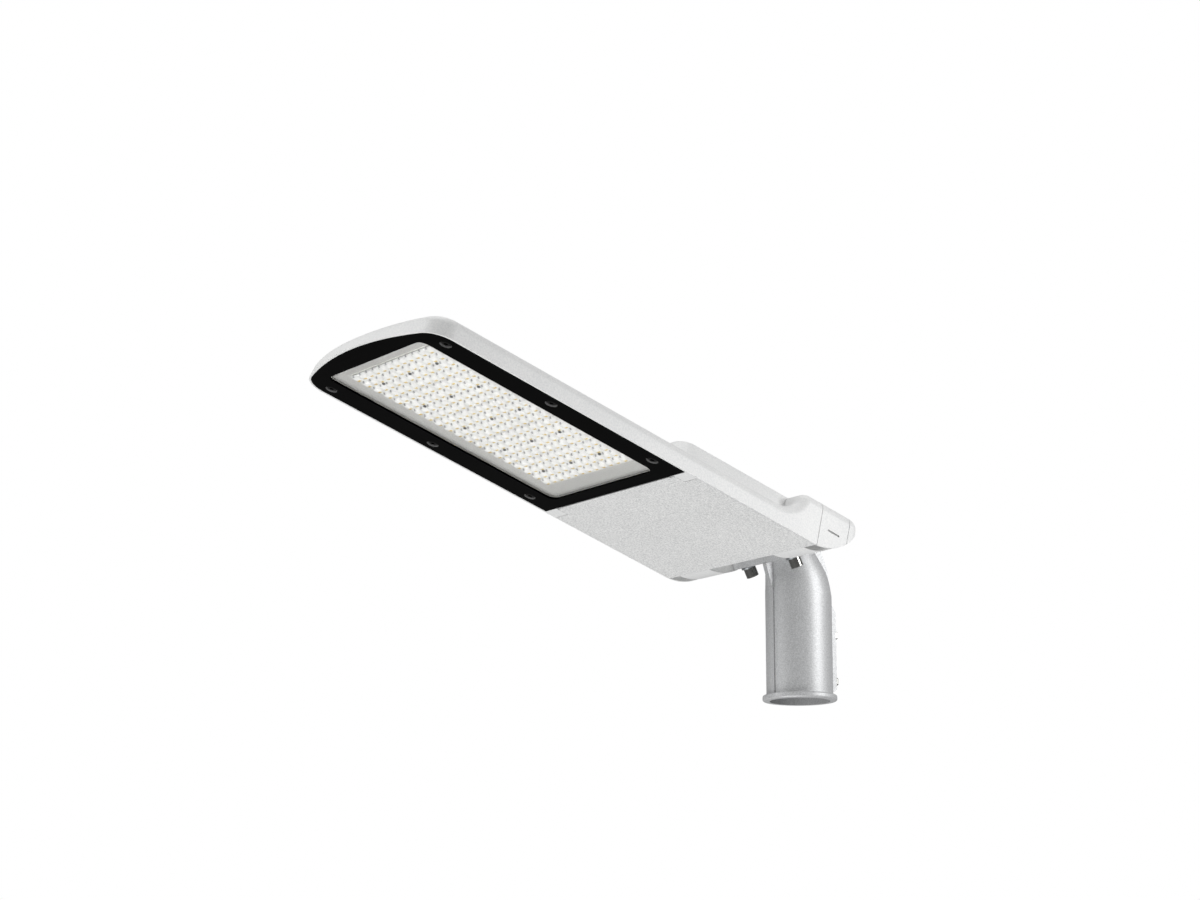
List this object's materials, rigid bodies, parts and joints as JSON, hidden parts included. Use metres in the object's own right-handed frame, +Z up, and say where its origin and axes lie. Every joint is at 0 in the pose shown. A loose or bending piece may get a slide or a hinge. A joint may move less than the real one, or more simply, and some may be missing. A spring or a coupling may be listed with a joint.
{
  "type": "led street light head",
  "caption": "Flat LED street light head with a black window frame, a hinged gear door and a curved tilt saddle on a short pole spigot.",
  "frame": {"origin": "centre of the spigot's mouth, where the pole enters", "axes": "+Z up along the pole, -X towards the nose of the head, +Y to the far side of the head"},
  "size_m": [0.5704, 0.241, 0.3027],
  "materials": {
    "light_grey_powder_coat": "satin",
    "black_powder_coat": "satin",
    "door_powder_coat": "fine textured",
    "hood_powder_coat": "satin",
    "spigot_powder_coat": "satin",
    "toughened_glass": "clear",
    "silicone": "matt",
    "black_rubber": "matt",
    "white_tray_plastic": "matt",
    "solder_mask": "matt",
    "led_phosphor": "matt",
    "clear_lens": "clear",
    "stainless_steel": "brushed",
    "dark_steel": "blackened",
    "zinc_plated_steel": "plated",
    "polished_steel": "bright",
    "driver_case": "satin",
    "surge_case": "satin",
    "terminal_plastic": "matt",
    "black_nylon": "matt",
    "brass": "satin",
    "lead_sheath": "satin"
  },
  "bodies": {
    "spigot": {"spigot": "spigot_powder_coat", "saddle_bolts": "polished_steel", "saddle_washers": "zinc_plated_steel", "clamp_bar": "zinc_plated_steel", "pole_clamp_bolts": "stainless_steel"},
    "head": {"housing": "light_grey_powder_coat", "bezel_frame": "black_powder_coat", "glass_pane": "toughened_glass", "glass_gasket": "silicone", "reflector_tray": "white_tray_plastic", "led_board": "solder_mask", "led_chips": "led_phosphor", "lens_plates": "clear_lens", "lens_screws": "dark_steel", "bezel_screws": "stainless_steel", "hinge_pins": "stainless_steel", "latch_clips": "zinc_plated_steel", "gear_plate": "zinc_plated_steel", "gear_plate_screws": "zinc_plated_steel", "led_driver": "driver_case", "surge_protector": "surge_case", "terminal_block": "terminal_plastic", "cable_gland": "black_nylon", "gland_nut": "black_nylon", "breather_vent": "black_nylon", "lead_grommet": "black_rubber", "earth_screw": "brass", "led_lead": "lead_sheath", "tail_hood": "hood_powder_coat", "hood_screws": "dark_steel"},
    "door": {"driver_cover": "door_powder_coat", "cover_gasket": "black_rubber"}
  },
  "joints": [
    {"name": "tilt", "type": "hinge", "parent": "spigot", "child": "head", "pos_m": [-0.06, 0, 0.188], "axis": [0, 1, 0], "range_deg": [-19, 0]},
    {"name": "door_hinge", "type": "hinge", "parent": "head", "child": "door", "pos_m": [-0.22267, 0, 0.18859], "axis": [0, 1, 0], "range_deg": [0, 90]}
  ]
}
